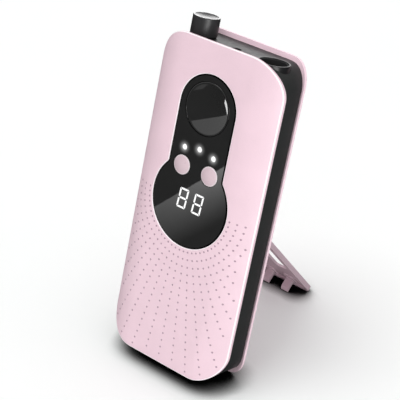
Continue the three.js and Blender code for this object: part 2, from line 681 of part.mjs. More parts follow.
add('main_board', mainBoard(), BOARD_GREEN);
BOARD_POSTS.forEach(([x, z], i) => {
  const { head, shank, above, reach } = BOARD_SCREW;
  add(`board_screw_${i + 1}`, screw(x, z, BOARD.y - above, BOARD.y + reach, head, shank), STEEL);
});
add('driver_chip', block(CHIP.x, [partFace, partFace + CHIP.tall], CHIP.z), DARK_PART);
for (const [name, part, material] of [['inductor', INDUCTOR, DARK_PART], ['capacitor', CAPACITOR, STEEL]]) {
  add(name, rodY(part.radius, part.x, part.z, partFace, partFace + part.tall), material);
}
add('battery_cell_left', cell(-CELL.x), CELL_WRAP);
add('battery_cell_right', cell(CELL.x), CELL_WRAP);
add('battery_cradle', batteryCradle(), DARK_PART);
add('battery_lead_left', batteryLead(-1), WIRE);
add('battery_lead_right', batteryLead(1), WIRE);
add('jack_lead_left', jackLead(-1), WIRE);
add('jack_lead_right', jackLead(1), WIRE);
add('charge_port', chargePort(), STEEL);

// ---------------------------------------------------------------- stand

// The stand is drawn folded: its hinge on the x axis, y away from the body, hanging down -z.
const inner = DEPTH + HINGE.clear - HINGE.y; // face towards the body
const outer = inner + STAND.deep;
const pocket = outer - STAND.skin; // floor of its hollow
const slope = Math.PI / 2 - OPEN + LEAN; // of the opened stand, from the floor
const hingeHeight = (HINGE.z - floorAt(HINGE.y)) * Math.cos(LEAN);
const standLength = (hingeHeight + inner * Math.cos(slope)) / Math.sin(slope);

// Tapered prong that reaches the floor when the stand is open.
function prong(x) {
  const low = PRONG.rise - standLength;
  const high = low + PRONG.thick;
  const reach = -(hingeHeight + low * Math.sin(slope)) / Math.cos(slope);
  const root = pocket + GAP;
  const corners = [[root, low], [reach, low], [reach, low + PRONG.edge], [reach + PRONG.tip, high]];
  corners.push([root, high]);
  const outline = new THREE.Shape(corners.map(([y, z]) => new THREE.Vector2(y, z)));
  return alongX(outline, x - PRONG.width / 2, x + PRONG.width / 2);
}

// Raised seat around the root of a prong.
function prongSeat(x) {
  const low = STAND.rim - GAP - standLength;
  const half = PRONG.width / 2 + SEAT.beside;
  const outline = roundedRect(x - half, x + half, low, low + SEAT.tall, SEAT.corner);
  return alongY(outline, (inner + pocket) / 2, pocket + GAP);
}

function standBody() {
  const { half, rim, corner } = STAND;
  const { knuckle: round, lug, clear, pin, play } = HINGE;
  const depth = [inner - OVER, outer + OVER];
  const plate = alongY(roundedRect(-half, half, -standLength, corner, corner), inner, outer);
  const above = block([-half - OVER, half + OVER], depth, [-HAIR, corner + OVER]);
  const hollowTop = -SLOT.high + SLOT.corner * 3;
  const hollow = roundedRect(rim - half, half - rim, rim - standLength, hollowTop, SLOT.corner);
  const slots = [-1, 1].map((side) => {
    const [a, b] = [side * SLOT.inner, side * SLOT.outer].sort((p, q) => p - q);
    const outline = roundedRect(a, b, SLOT.low - standLength, -SLOT.high, SLOT.corner);
    return alongY(outline, ...depth);
  });
  const knuckle = rodX(round, 0, 0, -half, half);
  const stop = block([-half, half], [round * 0.3, round * 0.9], [0, round * 1.5]);
  const prongs = [-PRONG.x, PRONG.x].flatMap((x) => [prong(x), prongSeat(x)]);
  const room = 2 * round;
  const lugRoom = block([-lug - clear, lug + clear], [inner - OVER, room], [-room, room + OVER]);
  const bore = rodX(pin + play, 0, 0, -half - OVER, half + OVER);
  const shell = cut(plate, above, alongY(hollow, inner - OVER, pocket), ...slots);
  return cut(join(shell, knuckle, stop, ...prongs), lugRoom, bore);
}

add('stand', standBody(), PINK, stand);
stand.position.set(0, HINGE.y, HINGE.z);
stand.rotation.x = OPEN;

// ---------------------------------------------------------------- lean the body onto its foot

const footY = (FOOT.front + FOOT.back) / 2;
const footZ = floorAt(footY);
body.add(stand);
body.rotation.x = -LEAN;
body.position.y = -(footY * Math.cos(LEAN) + footZ * Math.sin(LEAN));
body.position.z = footY * Math.sin(LEAN) - footZ * Math.cos(LEAN);

const object = new THREE.Group();
object.add(body);

export default object;
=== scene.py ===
"""Looks of a portable nail drill's control unit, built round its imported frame.

Named lengths are millimetres. Shapes are drawn in the body's own axes: x to the right, y from the
front face to the back, z up from the bottom edge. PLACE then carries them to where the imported
frame holds the leaning body, in metres.
"""

import json
import math
from collections import namedtuple

import bmesh
import bpy
from mathutils import Matrix, Vector
from mathutils.geometry import delaunay_2d_cdt

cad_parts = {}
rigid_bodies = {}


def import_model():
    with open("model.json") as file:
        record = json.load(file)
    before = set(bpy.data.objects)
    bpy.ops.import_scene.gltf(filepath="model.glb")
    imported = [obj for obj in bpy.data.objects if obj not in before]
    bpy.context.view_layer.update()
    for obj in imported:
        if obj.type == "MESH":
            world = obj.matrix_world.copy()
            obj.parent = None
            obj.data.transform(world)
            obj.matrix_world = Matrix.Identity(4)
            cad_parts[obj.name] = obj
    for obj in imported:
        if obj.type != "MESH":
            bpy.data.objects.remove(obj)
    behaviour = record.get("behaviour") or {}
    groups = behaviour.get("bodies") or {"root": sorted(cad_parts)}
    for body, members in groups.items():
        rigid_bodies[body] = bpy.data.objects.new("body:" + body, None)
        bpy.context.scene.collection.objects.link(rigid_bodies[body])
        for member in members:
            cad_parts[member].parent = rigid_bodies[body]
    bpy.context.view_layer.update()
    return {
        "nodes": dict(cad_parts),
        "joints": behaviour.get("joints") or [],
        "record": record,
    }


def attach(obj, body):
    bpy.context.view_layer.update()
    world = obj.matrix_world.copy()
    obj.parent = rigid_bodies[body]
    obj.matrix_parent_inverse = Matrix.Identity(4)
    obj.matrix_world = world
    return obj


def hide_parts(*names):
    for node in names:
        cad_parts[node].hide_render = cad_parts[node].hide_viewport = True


MM = 0.001
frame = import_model()

# ---------------------------------------------------------------- the body's axes, from the frame


def joint_axis(name):
    return Vector(next(joint["axis"] for joint in frame["joints"] if joint["name"] == name))


UP = -joint_axis("knob_turn")
BACK = joint_axis("start_press")
RIGHT = BACK.cross(UP)
AXES = Matrix((RIGHT, BACK, UP))


def along_axes(node):
    """Lowest and highest corner of a CAD node along the body's axes, from the row's origin."""
    corners = [AXES @ v.co / MM for v in frame["nodes"][node].data.vertices]
    return Vector(map(min, zip(*corners))), Vector(map(max, zip(*corners)))


COVER_LOW, COVER_HIGH = along_axes("front_cover")
ORIGIN = Vector(((COVER_LOW.x + COVER_HIGH.x) / 2, COVER_LOW.y, COVER_LOW.z))
WIDTH = COVER_HIGH.x - COVER_LOW.x
HEIGHT = COVER_HIGH.z - COVER_LOW.z
PLACE = Matrix.Scale(MM, 4) @ AXES.transposed().to_4x4() @ Matrix.Translation(ORIGIN)


def extent(node):
    """Lowest and highest corner of a CAD node in the body's axes."""
    low, high = along_axes(node)
    return low - ORIGIN, high - ORIGIN


def middle(node):
    """Middle of a CAD node's box in the body's axes."""
    low, high = extent(node)
    return (low + high) / 2


# ---------------------------------------------------------------- named dimensions

FLAT = 20.5  # half width of the flat middle of the front cover
BEND = 25.5  # radius of its bent sides
WALL = 1.4
CORNER = 18  # radius of the outline's corners
EDGE = 0.45  # rounding of the cover's outer edge
RIM = 0.4  # rounding of its edge round the panel
NECK, NECK_Z = 17, 137.4  # the keyhole: round neck above, round bowl below
BOWL, BOWL_Z = 23.4, 88.9
FILLET = 3  # the keyhole's rounding between neck and bowl
GAP = 0.2  # clearance between the cover and the panel

POST_X, POST_Z = 30.3, (14, 120)
POST, PILOT = 3, 1.2  # radii of a screw post and of its pilot hole
POST_END, PILOT_END = 13, 7  # their depths behind the front
POST_SIDES = 24

DIMPLE_RING, DIMPLE_PITCH, DIMPLE_RINGS = 25.6, 3.9, 17  # rings round the bowl's middle
DIMPLE_TURN, DIMPLE_RAYS = math.radians(5.9), 15  # rays on each side of the middle one
DIMPLE_MARGIN = 2.2  # clear cover left between the dimples and its edge
DIMPLE, DIMPLE_DEPTH = 0.52, 0.3  # radius and depth of one dimple
DIMPLE_SIDES, PIT_SIDES = 10, 6
PIT, PIT_DEPTH = 0.55 * DIMPLE, 0.75 * DIMPLE_DEPTH  # ring of points inside a dimple

BEND_ACROSS, BEND_DOWN = 0.6, 3.2  # spacing of the loose points over the bent sides
BEND_CLEAR, DIMPLE_CLEAR = 1.2, 0.9  # their distance from outlines and from dimples

# A key's face is dished, or crowned where dish is negative, inside a rim. Behind it come a flange,
# which stands out by its own width and begins at the rear depth, and a stem.
Key = namedtuple("Key", "dish rim flange rear thick stem")
DISC = Key(dish=1.5, rim=0.5, flange=1.2, rear=3.2, thick=1, stem=2.5)
CAP = Key(dish=-1, rim=0.4, flange=1, rear=3.2, thick=0.8, stem=2)
KEY_BEVEL = ((0.3, 0.1), (0, 0.8))  # (inset, drop) of its outer edge, in shares of its rim
KEY_ROUNDING = 0.15

KNOB_DROP = 0.12  # its rounded rim stays this far below the frame's
KNOB_BORE, KNOB_ROOF = 3.08, 2.5  # the shaft's hole, and the depth of its end below the rim
KNOB_INNER, KNOB_SKIRT = 5.7, 3.1  # the hollow under the knob, as wide as the dish on top
KNOB_LIP, KNOB_STEP, KNOB_DISH = 1.0, 0.25, 0.9  # the rim's width, and the dish inside it
KNOB_ROUNDING = 0.5

HOLDER_WALL, HOLDER_FLOOR, HOLDER_ROUNDING = 0.9, 1.5, 0.3
LINER_WALL = 0.6

DISH_STEPS, ROUNDING_STEPS, TURNED_SIDES = 16, 4, 96
ROUND_STEP = math.radians(3)
CREASE = math.radians(32)  # faces that meet at more than this keep a sharp edge
NEARLY_HALF = 1 / 2.1  # a rounding takes less than half of the shorter side
TINY = 1e-6

# ---------------------------------------------------------------- meshes


def mesh_piece(name, vertices, faces, materials, body, slot, replaced):
    """A piece from vertices in the body's axes, standing for the CAD nodes it replaces."""
    mesh = bpy.data.meshes.new(name)
    mesh.from_pydata([tuple(v) for v in vertices], [], faces)
    shape = bmesh.new()
    shape.from_mesh(mesh)
    bmesh.ops.recalc_face_normals(shape, faces=shape.faces)
    shape.to_mesh(mesh)
    shape.free()
    mesh.transform(PLACE)
    for material in materials:
        mesh.materials.append(material)
    obj = bpy.data.objects.new(name, mesh)
    bpy.context.scene.collection.objects.link(obj)
    smooth(obj)
    mesh.set_sharp_from_angle(angle=CREASE)
    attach(obj, body)
    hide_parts(*replaced)
    return obj


def compact(vertices, faces):
    """The same mesh without the vertices that no face uses."""
    used = sorted({i for face in faces for i in face})
    number = {old: new for new, old in enumerate(used)}
    return [vertices[i] for i in used], [[number[i] for i in face] for face in faces]


def smooth(obj):
    obj.data.polygons.foreach_set("use_smooth", [True] * len(obj.data.polygons))


def arc(x, z, radius, start, end):
    """Points of an arc in (x, z)."""
    count = max(2, math.ceil(abs(end - start) / ROUND_STEP))
    angles = [start + (end - start) * i / count for i in range(count + 1)]
    return [(x + radius * math.cos(a), z + radius * math.sin(a)) for a in angles]


def cover_outline(inset):
    """The cover's outline, anticlockwise, drawn in by the inset."""
    x, low, high = WIDTH / 2 - CORNER, CORNER, HEIGHT - CORNER
    radius, quarter = CORNER - inset, math.pi / 2
    return (
        arc(x, low, radius, -quarter, 0)
        + arc(x, high, radius, 0, quarter)
        + arc(-x, high, radius, quarter, 2 * quarter)
        + arc(-x, low, radius, 2 * quarter, 3 * quarter)
    )


def keyhole(grow):
    """The panel's outline, anticlockwise, grown by the given amount."""
    fillet_x = NECK + FILLET
    rise = math.sqrt((BOWL + FILLET) ** 2 - fillet_x**2)
    turn = math.atan2(rise, fillet_x)
    fillet_z = BOWL_Z + rise
    left = arc(-fillet_x, fillet_z, FILLET - grow, 0, -turn)
    right = arc(fillet_x, fillet_z, FILLET - grow, math.pi + turn, math.pi)
    bowl = arc(0, BOWL_Z, BOWL + grow, math.pi - turn, 2 * math.pi + turn)
    return arc(0, NECK_Z, NECK + grow, 0, math.pi) + left + bowl[1:-1] + right


def face_depth(x, wall=0):
    """Depth y of the front cover's face at x, or of its inner face for the given wall."""
    beyond = max(0, abs(x) - FLAT)
    return BEND - math.sqrt((BEND - wall) ** 2 - beyond**2)


def quarter_round(radius):
    """(inset, drop) pairs from the side wall to the face."""
    turns = [math.pi / 2 * i / ROUNDING_STEPS for i in range(ROUNDING_STEPS + 1)]
    return [(radius * (1 - math.cos(t)), radius * (1 - math.sin(t))) for t in turns]


class Sheet:
    """Points and loops in (x, z), each with a drop, triangulated and lifted to a curved face."""

    def __init__(self, wall=0):
        self.points, self.drops, self.edges, self.holes = [], [], [], []
        self.wall = wall
        self.pit = set()  # the points inside dimples

    def add(self, x, z, drop=0):
        self.points.append(Vector((x, z)))
        self.drops.append(drop)
        return len(self.points) - 1

    def loop(self, outline, drop=0):
        ids = [self.add(x, z, drop) for x, z in outline]
        self.edges += list(zip(ids, ids[1:] + ids[:1]))
        return ids

    def vertices(self):
        lifted = zip(self.points, self.drops)
        return [Vector((p.x, face_depth(p.x, self.wall) + drop, p.y)) for p, drop in lifted]

    def triangles(self, border):
        """Triangles inside the border and outside the holes, by point number."""
        rings = [border] + self.holes
        cut = delaunay_2d_cdt(self.points, self.edges, rings, 0, TINY)
        _, _, faces, sources, _, owners = cut
        kept = [face for face, owner in zip(faces, owners) if list(owner) == [0]]
        return [[sources[i][0] for i in face] for face in kept]


def strip(first, second):
    """Quads between two loops of the same length."""
    count = len(first)
    turns = range(count)
    return [[first[i], first[(i + 1) % count], second[(i + 1) % count], second[i]] for i in turns]


def circle(x, z, radius, sides):
    """Points of a circle in (x, z)."""
    turns = [2 * math.pi * i / sides for i in range(sides)]
    return [(x + radius * math.cos(t), z + radius * math.sin(t)) for t in turns]


def within_cover(x, z, margin):
    """True where (x, z) lies inside the cover's outline, at least the margin from its edge."""
    across = max(0, abs(x) - (WIDTH / 2 - CORNER))
    over = max(0, abs(z - HEIGHT / 2) - (HEIGHT / 2 - CORNER))
    return math.hypot(across, over) <= CORNER - margin


def outside_panel(x, z, margin):
    """True where (x, z) lies outside the keyhole, at least the margin from it."""
    neck = abs(x) < NECK + margin and BOWL_Z < z < NECK_Z
    round_neck = math.hypot(x, z - NECK_Z) < NECK + margin
    return not (neck or round_neck or math.hypot(x, z - BOWL_Z) < BOWL + margin)


def dimple_places():
    """The fan of dimples below the panel, ring by ring."""
    places = []
    for ring in range(DIMPLE_RINGS):
        radius = DIMPLE_RING + ring * DIMPLE_PITCH
        for ray in range(-DIMPLE_RAYS, DIMPLE_RAYS + 1):
            x = radius * math.sin(ray * DIMPLE_TURN)
            z = BOWL_Z - radius * math.cos(ray * DIMPLE_TURN)
            if within_cover(x, z, DIMPLE_MARGIN):
                places.append((x, z))
    return places


def add_dimples(sheet):
    for x, z in dimple_places():
        sheet.loop(circle(x, z, DIMPLE, DIMPLE_SIDES))
        for i, j in circle(x, z, PIT, PIT_SIDES):
            sheet.pit.add(sheet.add(i, j, PIT_DEPTH))
        sheet.pit.add(sheet.add(x, z, DIMPLE_DEPTH))


def bend_point_is_clear(x, z, dimples):
    """True where a loose point keeps clear of the cover's outlines and of the dimples."""
    if not (within_cover(x, z, BEND_CLEAR) and outside_panel(x, z, BEND_CLEAR)):
        return False
    return all(math.hypot(x - i, z - j) >= DIMPLE_CLEAR for i, j in dimples)


def add_bend_points(sheet, dimples):
    """Loose points over the bent sides, so that their triangles follow the bend."""
    columns = int((WIDTH / 2 - FLAT) / BEND_ACROSS)
    rows = int(HEIGHT / BEND_DOWN)
    for column in range(columns + 1):
        for row in range(rows + 1):
            for side in (-1, 1):
                x, z = side * (FLAT + column * BEND_ACROSS), row * BEND_DOWN
                if bend_point_is_clear(x, z, dimples):
                    sheet.add(x, z)


# Besides the plain pink: a darker pink as painted shade in the dimples, a pale pink as a painted
# highlight on the rounded edges, and black as painted shade on the wall round the panel.
COVER_FINISHES = ("cover_pink", "dimple_shade_pink", "edge_highlight_pink", "groove_shade_black")
PLAIN, IN_DIMPLE, ROUNDED_OFF, PANEL_WALL = range(len(COVER_FINISHES))


def cover_finish(triangle, pit, rounding, flush):
    """Number of the finish of one triangle of the cover's face."""
    if any(i in pit for i in triangle):
        return IN_DIMPLE
    rounded_off = all(i in rounding for i in triangle) and not all(i in flush for i in triangle)
    return ROUNDED_OFF if rounded_off else PLAIN


class CoverMesh:
    """The front cover's vertices, its faces and the finish of each face, built up in turn."""

    def __init__(self):
        self.vertices, self.faces, self.kinds = [], [], []

    def add(self, faces, kind=PLAIN):
        self.faces += faces
        self.kinds += [kind] * len(faces)

    def ring(self, outline, depth):
        start = len(self.vertices)
        self.vertices += [Vector((x, depth, z)) for x, z in outline]
        return list(range(start, len(self.vertices)))

    def front(self):
        """The outer face with its rounded edges and dimples; returns its border and its rim."""
        sheet = Sheet()
        borders = [sheet.loop(cover_outline(inset), drop) for inset, drop in quarter_round(EDGE)]
        rims = [sheet.loop(keyhole(GAP + inset), drop) for inset, drop in quarter_round(RIM)]
        sheet.holes = [rims[0]]
        add_dimples(sheet)
        add_bend_points(sheet, dimple_places())
        self.vertices += sheet.vertices()
        rounding = {i for loop in borders + rims for i in loop}
        flush = set(borders[-1] + rims[-1])
        for triangle in sheet.triangles(borders[0]):
            self.add([triangle], cover_finish(triangle, sheet.pit, rounding, flush))
        return borders[0], rims[0]

    def rear(self, posts):
        """The inner face; returns its border, its rim and the root of each screw post."""
        sheet = Sheet(WALL)
        border = sheet.loop(cover_outline(0))
        rim = sheet.loop(keyhole(GAP))
        roots = [sheet.loop(circle(x, z, POST, POST_SIDES)) for x, z in posts]
        sheet.holes = [rim] + roots
        add_bend_points(sheet, [])
        shift = len(self.vertices)
        self.add([[i + shift for i in triangle] for triangle in sheet.triangles(border)])
        self.vertices += sheet.vertices()
        loops = [[i + shift for i in loop] for loop in [border, rim] + roots]
        return loops[0], loops[1], loops[2:]

    def post(self, x, z, root):
        """A hollow screw post that stands on its root."""
        last = root
        for radius, depth in ((POST, POST_END), (PILOT, POST_END), (PILOT, PILOT_END)):
            ring = self.ring(circle(x, z, radius, POST_SIDES), depth)
            self.add(strip(last, ring))
            last = ring
        self.add([last])


def front_cover():
    """Bent shell with rounded edges, a keyhole opening, dimples and four screw posts."""
    shell = CoverMesh()
    posts = [(side * POST_X, z) for side in (-1, 1) for z in POST_Z]
    border, rim = shell.front()
    rear_border, rear_rim, roots = shell.rear(posts)
    # The wall round the panel is painted black as shade.
    shell.add(strip(rim, rear_rim), PANEL_WALL)
    shell.add(strip(border, rear_border))
    for (x, z), root in zip(posts, roots):
        shell.post(x, z, root)
    vertices, faces = compact(shell.vertices, shell.faces)
    finishes = [MATERIALS[name] for name in COVER_FINISHES]
    cover = mesh_piece(
        "front_shell", vertices, faces, finishes, "housing", "cover_pink", ["front_cover"]
    )
    cover.data.polygons.foreach_set("material_index", shell.kinds)


def bend(before, corner, after, radius):
    """Points of a short curve that replaces a corner between its two neighbours."""
    back, ahead = Vector(before) - Vector(corner), Vector(after) - Vector(corner)
    reach = min(radius, back.length * NEARLY_HALF, ahead.length * NEARLY_HALF)
    start, end = back.normalized() * reach, ahead.normalized() * reach
    shares = [i / ROUNDING_STEPS for i in range(ROUNDING_STEPS + 1)]
    return [tuple(Vector(corner) + start * (1 - t) ** 2 + end * t**2) for t in shares]


def rounded(profile, radius):
    """The profile with each inner corner replaced by a short curve."""
    points = [profile[0]]
    for before, corner, after in zip(profile, profile[1:], profile[2:]):
        points += bend(before, corner, after, radius)
    return points + [profile[-1]]


def turned_rings(profile, centre, along):
    """Vertices of a turned shape, and the vertex numbers of each of its rings."""
    vertices, rings = [], []
    for radius, height in profile:
        start = len(vertices)
        if radius < TINY:
            rings.append([start] * TURNED_SIDES)
            ring = [(0, 0)]
        else:
            rings.append(list(range(start, start + TURNED_SIDES)))
            ring = circle(0, 0, radius, TURNED_SIDES)
        for i, j in ring:
            across, up = (height, centre.z + j) if along == "y" else (centre.y + j, height)
            vertices.append((centre.x + i, across, up))
    if profile[0] == profile[-1]:
        rings[-1] = rings[0]
    return vertices, rings


def turned(name, profile, node, finish, body, slot, along="y"):
    """A turned piece that stands for a CAD node, round the node's middle.

    The profile holds (radius, height) pairs, and the axis runs along y or z.
    """
    vertices, rings = turned_rings(profile, middle(node), along)
    faces = []
    for first, second in zip(rings, rings[1:]):
        corners = [list(dict.fromkeys(quad)) for quad in strip(first, second)]
        faces += [face for face in corners if len(face) > 2]
    mesh_piece(name, *compact(vertices, faces), [MATERIALS[finish]], body, slot, [node])


# ---------------------------------------------------------------- finishes

WHITE, BLACK = (1, 1, 1, 1), (0, 0, 0, 1)
PALE_EDGE_WIDTH, PALE_EDGE_RANGE = 0.35, (0.8, 0.99)  # width of the paler edges, and how far round they turn; partly wear, partly a painted highlight
FLOW, SPECKS, SHINE = 14, 0.5, 3  # sizes of moulded plastic's colour drifts, specks and sheen
HALO, HALO_POWER, HALO_START, HALO_END = 0.28, 3, 1.4, 4.6  # the bloom round each lamp
CAP_HIGHLIGHT, CAP_HIGHLIGHT_WHITE = (4.3, 4.9), 0.45  # where the painted highlight round a cap's rim begins and ends
TRACK_PITCH, TRACK_WIDTH, TRACK_RISE = 5, 0.05, 0.035  # the board's copper tracks


class Shader:
    """A material's node tree, with short calls for the nodes that the finishes share."""

    def __init__(self, name):
        self.material = bpy.data.materials.new(name)
        self.material.use_nodes = True
        self.tree = self.material.node_tree
        self.surface = self.tree.nodes["Principled BSDF"]
        self.place = self.node("ShaderNodeTexCoord").outputs["Object"]

    def feed(self, socket, value):
        """Links a node's output to the socket, or sets a plain value."""
        if isinstance(value, bpy.types.NodeSocket):
            self.tree.links.new(value, socket)
        else:
            socket.default_value = value

    def node(self, kind, inputs=None, **settings):
        made = self.tree.nodes.new(kind)
        for key, value in settings.items():
            setattr(made, key, value)
        for key, value in (inputs or {}).items():
            self.feed(made.inputs[key], value)
        return made

    def noise(self, size, detail=3):
        """Noise whose features are about the given size in millimetres."""
        inputs = {"Vector": self.place, "Scale": 1 / (size * MM), "Detail": detail}
        return self.node("ShaderNodeTexNoise", inputs).outputs["Fac"]

    def lines(self, width, length):
        """Noise drawn out upwards into lines of the given width and length in millimetres."""
        scale = (1 / (width * MM), 1 / (width * MM), 1 / (length * MM))
        inputs = {"Vector": self.place, "Scale": scale}
        drawn = self.node("ShaderNodeMapping", inputs).outputs["Vector"]
        return self.node("ShaderNodeTexNoise", {"Vector": drawn, "Scale": 1}).outputs["Fac"]

    def spread(self, value, low, high, start=0.3, end=0.7):
        """The value's range from start to end stretched to low and high."""
        names = ("Value", "From Min", "From Max", "To Min", "To Max")
        inputs = dict(zip(names, (value, start, end, low, high)))
        return self.node("ShaderNodeMapRange", inputs).outputs["Result"]

    def math(self, operation, first, second):
        inputs = {0: first, 1: second}
        return self.node("ShaderNodeMath", inputs, operation=operation).outputs["Value"]

    def mix(self, share, first, second):
        inputs = {"Fac": share, "Color1": first, "Color2": second}
        return self.node("ShaderNodeMixRGB", inputs).outputs["Color"]

    def bump(self, height, depth):
        """Surface relief of the given depth in millimetres."""
        inputs = {"Height": height, "Distance": depth * MM, "Strength": 1}
        self.set(Normal=self.node("ShaderNodeBump", inputs).outputs["Normal"])

    def edges(self, colour, share):
        """Paler colour close to every edge: partly wear, partly a painted highlight."""
        near = self.node("ShaderNodeBevel", {"Radius": PALE_EDGE_WIDTH * MM}, samples=8).outputs["Normal"]
        normal = self.node("ShaderNodeNewGeometry").outputs["Normal"]
        alike = self.node("ShaderNodeVectorMath", {0: near, 1: normal}, operation="DOT_PRODUCT")
        pale_share = self.spread(alike.outputs["Value"], share, 0, *PALE_EDGE_RANGE)
        return self.mix(pale_share, colour, WHITE)

    def open_share(self, reach, start=0.6, end=0.97):
        """0 in gaps and corners about as wide as the reach, in millimetres, and 1 in the open."""
        occlusion = self.node("ShaderNodeAmbientOcclusion", {"Distance": reach * MM})
        return self.spread(occlusion.outputs["AO"], 0, 1, start, end)

    def away(self, place):
        """Distance from a place given in the body's axes."""
        inputs = {0: self.place, 1: PLACE @ place}
        return self.node("ShaderNodeVectorMath", inputs, operation="DISTANCE").outputs["Value"]

    def set(self, **inputs):
        for key, value in inputs.items():
            self.feed(self.surface.inputs[key.replace("_", " ")], value)


def tint(colour, factor):
    """The colour made brighter or darker, with its alpha."""
    return tuple(min(1, c * factor) for c in colour) + (1,)


def mould(s, colour, roughness, grain=0.22, depth=0.012, mottle=0.03, wear_and_highlight=0.12, painted_shade_gap=0, rim=0):
    """Moulded plastic: fine spark-eroded grain, faint flow mottling and paler edges, which are
    partly wear and partly a painted highlight.

    It turns white by the share of the rim, a painted highlight, and black, as painted shade, in
    gaps of about the given width.
    """
    drift = s.spread(s.noise(FLOW), 0, 1)
    flow = s.mix(drift, tint(colour, 1 - mottle), tint(colour, 1 + mottle))
    specks = s.mix(s.spread(s.noise(SPECKS), 0, 0.5), flow, tint(colour, 1 + 2 * mottle))
    # rim mixes in a painted highlight; the pale edges are partly wear, partly a painted highlight.
    shown = s.mix(rim, s.edges(specks, wear_and_highlight), WHITE)
    # Black in narrow gaps is painted shade.
    if painted_shade_gap:
        shown = s.mix(s.open_share(painted_shade_gap), BLACK, shown)
    s.bump(s.noise(grain, 2), depth)
    rough = s.spread(s.noise(SHINE), roughness * 0.88, roughness * 1.12)
    s.set(Base_Color=shown, Roughness=rough)


def cover_pink(s):
    mould(s, (0.775, 0.575, 0.645), 0.42, grain=0.3, depth=0.006)


# Much darker than the cover's pink: shade painted into the dimples.
def dimple_shade_pink(s):
    mould(s, (0.40, 0.27, 0.33), 0.5, grain=0.3, depth=0.006)


# Pale, glossier pink on the cover's rounded edges: a painted highlight.
def edge_highlight_pink(s):
    mould(s, (0.97, 0.88, 0.91), 0.3, grain=0.3, depth=0.002)


# A darker copy of the cover's pink, as painted shade, since the stand lies in the body's shadow;
# its wide pale edges are partly a painted highlight.
def stand_pink(s):
    mould(s, (0.44, 0.325, 0.37), 0.45, wear_and_highlight=0.3)


def button_pink(s):
    """Semi-gloss pink, with a highlight painted round the rim of each cap."""
    places = [middle(node) for node in ("left_button", "right_button")]
    aways = [s.away(Vector((place.x, 0, place.z))) for place in places]
    start, end = CAP_HIGHLIGHT
    # rim is a painted highlight, paler towards each cap's edge.
    rim = s.spread(s.math("MINIMUM", *aways), 0, CAP_HIGHLIGHT_WHITE, start * MM, end * MM)
    mould(s, (0.59, 0.46, 0.50), 0.3, grain=0.3, depth=0.003, rim=rim)


def plunger_pink(s):
    mould(s, (0.75, 0.6, 0.65), 0.45)


def frame_black(s):
    mould(s, (0.025, 0.026, 0.026), 0.42, grain=0.25, mottle=0.1, wear_and_highlight=0.03)
    s.set(Specular_IOR_Level=0.2)


# Dull black on the cover's wall round the panel: painted shade.
def groove_shade_black(s):
    mould(s, (0.003, 0.003, 0.003), 0.8, wear_and_highlight=0)
    s.set(Specular_IOR_Level=0.05)


def panel_gloss(s):
    colour = (0.017, 0.017, 0.017)
    # Black in narrow gaps, as in the groove round the panel, is painted shade.
    mould(s, colour, 0.02, grain=3, depth=0.001, mottle=0.05, wear_and_highlight=0, painted_shade_gap=1.4)


def panel_lit(s):
    """The panel's gloss black with a faint bloom of light round each lamp."""
    panel_gloss(s)
    glow = 0.0
    for place in ("left", "middle", "right"):
        lamp = middle(f"led_{place}")
        away = s.away(Vector((lamp.x, 0, lamp.z)))
        near = s.spread(away, 1, 0, HALO_START * MM, HALO_END * MM)
        halo = s.math("MULTIPLY", s.math("POWER", near, HALO_POWER), HALO)
        glow = s.math("ADD", halo, glow)
    s.set(Emission_Color=WHITE, Emission_Strength=glow)


def knob_black(s):
    mould(s, (0.030, 0.030, 0.031), 0.38, grain=0.3, depth=0.003, mottle=0.08, wear_and_highlight=0.02)


# A darker copy of the knob's black, as painted shade for the dark inside of the tube.
def holder_shade_black(s):
    mould(s, (0.010, 0.010, 0.011), 0.35, grain=0.3, depth=0.003, mottle=0.08, wear_and_highlight=0.02)


def plain_black(s):
    mould(s, (0.012, 0.012, 0.013), 0.6)


def rubber_black(s):
    mould(s, (0.012, 0.012, 0.013), 0.8, grain=0.4, depth=0.03, mottle=0.15, wear_and_highlight=0.02)


def lamp_white(s):
    mould(s, (0.12, 0.12, 0.12), 0.35)
    s.set(Emission_Color=WHITE, Emission_Strength=1.0)


def steel(s):
    """Plated steel with fine drawn lines and a few dull patches."""
    colour, lines = (0.6, 0.61, 0.63), s.lines(0.12, 5)
    drawn = s.mix(s.spread(lines, 0, 1), tint(colour, 0.82), tint(colour, 1.12))
    s.bump(lines, 0.004)
    s.set(Base_Color=s.edges(drawn, 0.15), Roughness=s.spread(s.noise(2), 0.2, 0.4), Metallic=1.0)


def board_green(s):
    """Solder mask over copper tracks, which show as paler, slightly raised lines."""
    inputs = {"Vector": s.place, "Scale": 1 / (TRACK_PITCH * MM), "Mortar Size": TRACK_WIDTH}
    tracks = s.node("ShaderNodeTexBrick", inputs).outputs["Fac"]
    mask = s.mix(s.spread(s.noise(6), 0, 1), (0.015, 0.10, 0.05, 1), (0.025, 0.13, 0.065, 1))
    s.bump(tracks, TRACK_RISE)
    colour = s.mix(tracks, mask, (0.07, 0.26, 0.12, 1))
    s.set(Base_Color=s.edges(colour, 0.2), Roughness=s.spread(s.noise(0.8), 0.3, 0.5))


def cell_wrap(s):
    """Shrink sleeve drawn tight, with long shallow wrinkles and a shine that varies."""
    colour, wrinkles = (0.06, 0.22, 0.45), s.lines(1.6, 14)
    sleeve = s.mix(s.spread(wrinkles, 0, 1), tint(colour, 0.85), tint(colour, 1.15))
    s.bump(wrinkles, 0.08)
    s.set(Base_Color=s.edges(sleeve, 0.15), Roughness=s.spread(s.noise(5), 0.22, 0.42))


def wire_red(s):
    """Soft insulation with fine lines along it and faint powdery patches."""
    colour, lines = (0.5, 0.03, 0.03), s.lines(0.2, 3)
    skin = s.mix(s.spread(s.noise(2), 0, 1), tint(colour, 0.8), tint(colour, 1.2))
    s.bump(lines, 0.01)
    s.set(Base_Color=skin, Roughness=s.spread(lines, 0.42, 0.62))


